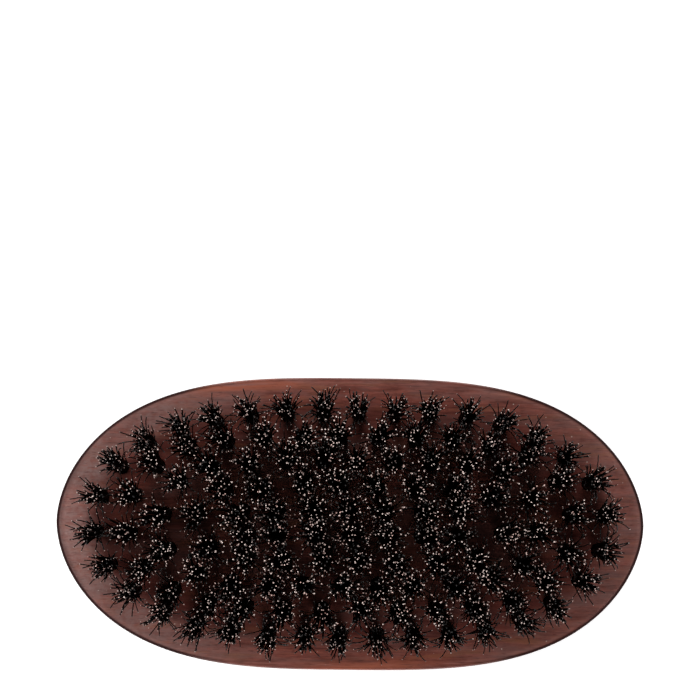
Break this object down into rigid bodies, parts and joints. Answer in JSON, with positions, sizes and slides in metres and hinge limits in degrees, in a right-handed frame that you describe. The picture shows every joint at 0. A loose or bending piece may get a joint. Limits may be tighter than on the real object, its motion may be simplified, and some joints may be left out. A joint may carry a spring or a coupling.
{
  "type": "palm brush",
  "caption": "Oval wooden palm brush lying on its domed back, with rows of dark bristle tufts drawn through a drilled face board and held by wires.",
  "frame": {"origin": "middle of the flat land of the back, on the plane that the brush rests on", "axes": "+X along the length, +Y across the width, +Z out of the face along the bristles"},
  "size_m": [0.1, 0.0496, 0.0315],
  "materials": {
    "face_wood": "dark red-brown stain under a thin satin lacquer",
    "back_wood": "dark red-brown stain under a satin lacquer",
    "bristle": "near-black natural bristle with pale cut tips",
    "drawing_wire": "drawn"
  },
  "bodies": {
    "root": {"face_board": "face_wood", "back_cover": "back_wood", "bristle_row_1": "bristle", "bristle_row_2": "bristle", "bristle_row_3": "bristle", "bristle_row_4": "bristle", "bristle_row_5": "bristle", "bristle_row_6": "bristle", "bristle_row_7": "bristle", "bristle_row_8": "bristle", "bristle_row_9": "bristle", "bristle_row_10": "bristle", "drawing_wire_1": "drawing_wire", "drawing_wire_2": "drawing_wire", "drawing_wire_3": "drawing_wire", "drawing_wire_4": "drawing_wire", "drawing_wire_5": "drawing_wire", "drawing_wire_6": "drawing_wire", "drawing_wire_7": "drawing_wire", "drawing_wire_8": "drawing_wire", "drawing_wire_9": "drawing_wire", "drawing_wire_10": "drawing_wire"}
  },
  "joints": []
}
